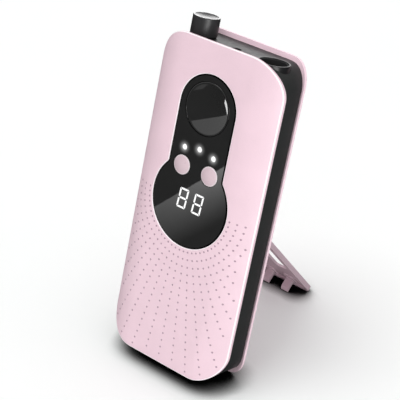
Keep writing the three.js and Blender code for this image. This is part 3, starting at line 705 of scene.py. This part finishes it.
FINISHES = (
    cover_pink, dimple_shade_pink, edge_highlight_pink, stand_pink, button_pink, plunger_pink,
    frame_black, groove_shade_black, panel_gloss, panel_lit,
    knob_black, holder_shade_black, plain_black, rubber_black,
    lamp_white, steel, board_green, cell_wrap, wire_red,
)


def finished(finish):
    """The material that one of the finishes makes."""
    s = Shader(finish.__name__)
    finish(s)
    return s.material


MATERIALS = {finish.__name__: finished(finish) for finish in FINISHES}

# ---------------------------------------------------------------- CAD nodes that stay

ROUNDED = {
    "mid_frame": 0.35,
    "back_cover": 0.5,
    "stand": 0.35,
    "control_panel": 0.15,
    "rear_foot": 0.4,
    "handpiece_jack": 0.15,
}
ROUNDED_ELSEWHERE = 0.12
SAME_POINT = 0.001
SAME_FACE, SHARP = math.radians(0.4), math.radians(34)  # merged below, rounded above


def clear_normals(mesh):
    """Drops the normals that came with the mesh, so that new ones are worked out."""
    normals = mesh.attributes.get("custom_normal")
    if normals:
        mesh.attributes.remove(normals)


def soften(node):
    """Rounds a CAD node's edges and shades its facets smooth."""
    obj = frame["nodes"][node]
    clear_normals(obj.data)
    weld = obj.modifiers.new("weld", "WELD")
    weld.merge_threshold = SAME_POINT * MM
    flat = obj.modifiers.new("flat", "DECIMATE")
    flat.decimate_type = "DISSOLVE"
    flat.angle_limit = SAME_FACE
    bevel = obj.modifiers.new("edges", "BEVEL")
    bevel.width = ROUNDED.get(node, ROUNDED_ELSEWHERE) * MM
    bevel.segments = 3
    bevel.limit_method = "ANGLE"
    bevel.angle_limit = SHARP
    even = obj.modifiers.new("normals", "WEIGHTED_NORMAL")
    even.keep_sharp = True
    even.weight = 100
    smooth(obj)


def dress(node, finish):
    """Gives a CAD node its finish and its rounded edges."""
    materials = frame["nodes"][node].data.materials
    materials.clear()
    materials.append(MATERIALS[finish])
    soften(node)


for part in frame["record"]["subparts"]:
    dress(part["node"], "panel_lit" if part["node"] == "control_panel" else part["material_slot"])

# ---------------------------------------------------------------- pieces that replace CAD nodes


def dish(radius, depth):
    """(radius, drop) pairs of a shallow round hollow, from its middle outwards."""
    shares = [i / DISH_STEPS for i in range(DISH_STEPS + 1)]
    return [(radius * share, depth * (1 - share**2)) for share in shares]


def turned_key(name, node, body, slot, key):
    """A dished or crowned key with a flange and a stem behind."""
    low, high = extent(node)
    flange = (high.x - low.x) / 2
    radius = flange - key.flange
    face = dish(radius - key.rim, key.dish)
    side = [(radius - inset * key.rim, drop * key.rim) for inset, drop in KEY_BEVEL]
    side += [(radius, key.rear), (flange, key.rear)]
    foot = key.rear + key.thick
    rear = [(flange, foot), (key.stem, foot), (key.stem, high.y), (0, high.y)]
    profile = face + rounded([face[-1]] + side + rear, KEY_ROUNDING)[1:]
    turned(name, profile, node, slot, body, slot)


def knob():
    low, high = extent("speed_knob")
    radius, top, skirt = (high.x - low.x) / 2, high.z - KNOB_DROP, low.z + KNOB_SKIRT
    inside = [(0, top - KNOB_ROOF), (KNOB_BORE, top - KNOB_ROOF), (KNOB_BORE, skirt)]
    inside += [(KNOB_INNER, skirt), (KNOB_INNER, low.z)]
    outside = [(radius, low.z), (radius, top), (radius - KNOB_LIP, top)]
    hollow = [(r, top - KNOB_STEP - drop) for r, drop in reversed(dish(KNOB_INNER, KNOB_DISH))]
    profile = rounded(inside + outside + [hollow[0]], KNOB_ROUNDING) + hollow[1:]
    turned("speed_dial", profile, "speed_knob", "knob_black", "knob", "knob_black", along="z")


def holder():
    low, high = extent("handpiece_holder")
    radius, bottom = (high.x - low.x) / 2, low.z + HOLDER_FLOOR
    inner = radius - HOLDER_WALL
    profile = [(0, low.z), (radius, low.z), (radius, high.z), (inner, high.z)]
    profile = rounded(profile + [(inner, bottom), (0, bottom)], HOLDER_ROUNDING)
    # The tube's darker black is painted shade.
    node, finish = "handpiece_holder", "holder_shade_black"
    turned("holder_tube", profile, node, finish, "housing", "knob_black", along="z")


def liner():
    low, high = extent("holder_liner")
    outer = (high.x - low.x) / 2
    inner = outer - LINER_WALL
    profile = [(inner, low.z), (outer, low.z), (outer, high.z), (inner, high.z), (inner, low.z)]
    node, finish = "holder_liner", "rubber_black"
    turned("holder_sleeve", profile, node, finish, "housing", finish, along="z")


front_cover()
turned_key("start_disc", "start_button", "start_key", "panel_gloss", DISC)
turned_key("left_cap", "left_button", "left_key", "button_pink", CAP)
turned_key("right_cap", "right_button", "right_key", "button_pink", CAP)
knob()
holder()
liner()

# ---------------------------------------------------------------- studio


def stage_mesh(name, corners, material):
    """A flat shape that belongs to the studio."""
    mesh = bpy.data.meshes.new(name)
    mesh.from_pydata([tuple(c) for c in corners], [], [list(range(len(corners)))])
    mesh.materials.append(material)
    obj = bpy.data.objects.new(name, mesh)
    bpy.context.scene.collection.objects.link(obj)
    return obj


FLOOR_REACH = 4  # metres
SQUARE = ((-1, -1), (1, -1), (1, 1), (-1, 1))
FLOOR_WHITE = (0.985, 1.0, 0.993)  # evens out the pink that the covers cast
CONTACT_SHADOW, CONTACT_SHADOW_RANGE = 14, (0.45, 0.92)  # the floor's painted contact shadow close under the object
AROUND, AROUND_RANGE, AROUND_SHADE = 90, (0.6, 1.0), 0.91  # and its weak painted shade round it
CLOUD = 180  # size of its faint unevenness
GLOW = 0.12  # share of the floor's light that no shadow takes away


def floor_white(s):
    """Plain white, with a painted contact shadow close under the object and painted shade round
    it.
    """
    cloud = s.spread(s.noise(CLOUD), 0.98, 1)
    # Painted contact shadow and painted shade, from ambient occlusion.
    near = s.open_share(CONTACT_SHADOW, *CONTACT_SHADOW_RANGE)
    wide = s.spread(s.open_share(AROUND, *AROUND_RANGE), AROUND_SHADE, 1, 0, 1)
    open_share = s.math("MULTIPLY", near, wide)
    white = s.mix(s.math("MULTIPLY", cloud, open_share), BLACK, tint(FLOOR_WHITE, 1 - GLOW))
    s.set(Base_Color=white, Roughness=0.9, Specular_IOR_Level=0.1)
    s.set(Emission_Color=WHITE, Emission_Strength=s.math("MULTIPLY", open_share, GLOW))


def floor():
    """A wide square that lights the object by scattered light only, not by reflections."""
    corners = [(x * FLOOR_REACH, y * FLOOR_REACH, 0) for x, y in SQUARE]
    made = stage_mesh("floor", corners, finished(floor_white))
    made.visible_glossy = False
    return made


# Places and distances of the camera and the lights, in metres and degrees
AIM = Vector((-0.0239, 0.040, 0.0664))
AZIMUTH, ELEVATION, DISTANCE = 40.33, 33.23, 0.7314
LENS, SENSOR = 124.35, 36
NEAREST, FARTHEST = 0.01, 20
LIT_POINT, LIGHT_DISTANCE = Vector((0, 0.02, 0.09)), 1
SKY_WIDTH = math.radians(35)
SKY_FULL = 0.8  # height of a direction above which the sky has its full power


def toward(azimuth, elevation):
    """Unit vector from the object towards a place; azimuth 0 is the front and 90 the right."""
    a, e = math.radians(azimuth), math.radians(elevation)
    return Vector((math.sin(a) * math.cos(e), -math.cos(a) * math.cos(e), math.sin(e)))


def facing(name, data, target, away, distance):
    """A camera or a light at the given distance from its target, facing it."""
    obj = bpy.data.objects.new(name, data)
    obj.location = target + away * distance
    obj.rotation_mode = "QUATERNION"
    obj.rotation_quaternion = (-away).to_track_quat("-Z", "Y")
    bpy.context.scene.collection.objects.link(obj)
    return obj


def camera():
    """The camera, above the object and to its right."""
    data = bpy.data.cameras.new("camera")
    data.lens, data.sensor_width = LENS, SENSOR
    data.clip_start, data.clip_end = NEAREST, FARTHEST
    made = facing("camera", data, AIM, toward(AZIMUTH, ELEVATION), DISTANCE)
    bpy.context.scene.camera = made
    return made


def light(name, kind, azimuth, elevation, power):
    """A light of the given kind, facing the object."""
    data = bpy.data.lights.new(name, kind)
    data.energy = power
    return facing(name, data, LIT_POINT, toward(azimuth, elevation), LIGHT_DISTANCE)


def all_but(source, skipped):
    """Lets a light reach everything but the given object."""
    linked = bpy.data.collections.new(source.name + "_skips")
    linked.objects.link(skipped)
    linked.collection_objects[0].light_linking.link_state = "EXCLUDE"
    source.light_linking.receiver_collection = linked


def only_for(source, receivers):
    """Lets a light reach the given objects only."""
    linked = bpy.data.collections.new(source.name + "_lit")
    for receiver in receivers:
        linked.objects.link(receiver)
    source.light_linking.receiver_collection = linked


def soft_box(name, azimuth, elevation, size, power):
    """A square light of the given size, in metres."""
    lamp = light(name, "AREA", azimuth, elevation, power)
    lamp.data.size = size
    return lamp


def sky_light(power):
    """Broad light from nearly overhead, which lights the ground and throws the soft shadow."""
    lamp = light("sky", "SUN", azimuth=-40, elevation=72, power=power)
    lamp.data.angle = SKY_WIDTH


def world(power):
    """White to the eye; to the object a sky that fades to dark at the horizon."""
    made = bpy.data.worlds.new("studio")
    bpy.context.scene.world = made
    made.use_nodes = True
    nodes, links = made.node_tree.nodes, made.node_tree.links
    seen = nodes.new("ShaderNodeLightPath").outputs["Is Camera Ray"]
    direction = nodes.new("ShaderNodeTexCoord").outputs["Generated"]
    split = nodes.new("ShaderNodeSeparateXYZ")
    links.new(direction, split.inputs["Vector"])
    height = nodes.new("ShaderNodeMapRange")
    height.inputs["From Min"].default_value = 0.0
    height.inputs["From Max"].default_value = SKY_FULL
    height.inputs["To Min"].default_value = 0.0
    height.inputs["To Max"].default_value = power
    links.new(split.outputs["Z"], height.inputs["Value"])
    chosen = nodes.new("ShaderNodeMix")
    links.new(seen, chosen.inputs["Factor"])
    links.new(height.outputs["Result"], chosen.inputs["A"])
    chosen.inputs["B"].default_value = 1.0
    links.new(chosen.outputs["Result"], nodes["Background"].inputs["Strength"])
    nodes["Background"].inputs["Color"].default_value = (1, 1, 1, 1)


def beyond(s, first, second):
    """Distance to the right of the line from first to second, in the shape's own (x, z)."""
    ahead = (Vector(second) - Vector(first)).normalized()
    place = s.node("ShaderNodeSeparateXYZ", {"Vector": s.place}).outputs
    across = s.math("MULTIPLY", s.math("SUBTRACT", place["X"], first[0]), ahead.y)
    along = s.math("MULTIPLY", s.math("SUBTRACT", place["Z"], first[1]), ahead.x)
    return s.math("SUBTRACT", across, along)


def glowing(s, outline, strength, reach, power, tilt):
    """Light that fades to nothing over its reach, if it has one, from the outline's first side."""
    if reach:
        share = s.spread(beyond(s, outline[0], outline[1]), 1, 0, 0, reach)
        strength = s.math("MULTIPLY", s.math("POWER", share, power), strength)
    if tilt:
        across = s.node("ShaderNodeSeparateXYZ", {"Vector": s.place}).outputs["X"]
        strength = s.math("MULTIPLY", strength, s.spread(across, 1 - tilt, 1, -TILTED, TILTED))
    s.set(Base_Color=BLACK, Emission_Color=WHITE, Emission_Strength=strength)


class Mirrored:
    """Flat shapes seen in reflections only, drawn where they show on the panel.

    They lie parallel to the panel, behind it as seen in the mirror, so that a shape drawn in the
    panel's own (x, z) millimetres shows in that place to the given eye.
    """

    def __init__(self, eye):
        ahead = -BACK
        on_panel = PLACE @ Vector((0, 0, NECK_Z))
        self.mirrored = eye - ahead * 2 * (eye - on_panel).dot(ahead)

    def shape(self, name, outline, spread, material):
        made = stage_mesh(name, [(x, 0, z) for x, z in outline], material)
        move = Matrix.Translation(self.mirrored * (1 - spread))
        made.matrix_world = move @ Matrix.Scale(spread, 4) @ PLACE
        made.visible_camera = made.visible_diffuse = made.visible_shadow = False
        made.visible_transmission = made.visible_volume_scatter = False
        return made

    def backdrop(self):
        s = Shader("backdrop_dark")
        s.set(Base_Color=BLACK, Roughness=1.0, Specular_IOR_Level=0.0)
        self.shape("backdrop", BACKDROP, BACKDROP_SPREAD, s.material)

    def light(self, name, outline, receivers, strength, reach=0, power=1, tilt=0):
        s = Shader(name)
        glowing(s, outline, strength, reach, power, tilt)
        only_for(self.shape(name, outline, LIGHT_SPREAD, s.material), receivers)


BACKDROP_SPREAD, LIGHT_SPREAD = 1.5, 1.49  # the lights lie just before the dark backdrop
# Corners of the mirrored shapes, in the panel's own (x, z) millimetres
BACKDROP = [(-260, -60), (260, -60), (260, 360), (-260, 360)]
BOWL_LIGHT = [(-24, 75.1), (24, 121.1), (39.9, 104.5), (-8.1, 58.5)]
LOWER_LIGHT = [(-274, 190), (60, 340), (120, 215.9), (-210, 69.1)]
UPPER_LIGHT = [(90, 129), (25, 90.3), (-24, 43), (-60, -40), (140, 40)]
CRESCENT_LIGHT = [(-166, 96), (-130, 60), (-175, 0), (-240, 50)]
TILTED = 15  # half width of the stretch over which the bowl's light weakens to the left


def reflections(eye):
    """The light seen across the panel's bowl and the three seen in the dished disc."""
    mirror = Mirrored(eye)
    mirror.backdrop()
    panel, disc = [frame["nodes"]["control_panel"]], [bpy.data.objects["start_disc"]]
    mirror.light("bowl_light", BOWL_LIGHT, panel, strength=3, reach=23, power=1.3, tilt=0.5)
    mirror.light("lower_light", LOWER_LIGHT, disc, strength=1.1)
    mirror.light("upper_light", UPPER_LIGHT, disc, strength=0.5)
    mirror.light("crescent_light", CRESCENT_LIGHT, disc, strength=12)


def side_lights(ground):
    """Soft boxes at the sides, which light the object and not the ground."""
    side = soft_box("side", azimuth=55, elevation=8, size=0.6, power=5.8)
    rim = soft_box("rim", azimuth=213, elevation=12, size=0.6, power=2.6)
    all_but(side, ground)
    all_but(rim, ground)


def accents():
    """Small lights, each for one place: the knob's far side, the button caps, the rear lip."""
    pieces = bpy.data.objects
    glint = soft_box("glint", azimuth=213, elevation=6, size=0.35, power=1.8)
    keys = soft_box("keys", azimuth=62, elevation=-5, size=0.3, power=2)
    lip = soft_box("lip", azimuth=30, elevation=50, size=0.4, power=3.5)
    only_for(glint, [pieces["speed_dial"]])
    only_for(keys, [pieces["left_cap"], pieces["right_cap"]])
    only_for(lip, [frame["nodes"]["back_cover"]])


bpy.context.scene.view_settings.view_transform = "Standard"
view = camera()
world(power=0.88)
sky_light(power=1.1)
side_lights(floor())
accents()
reflections(view.location)
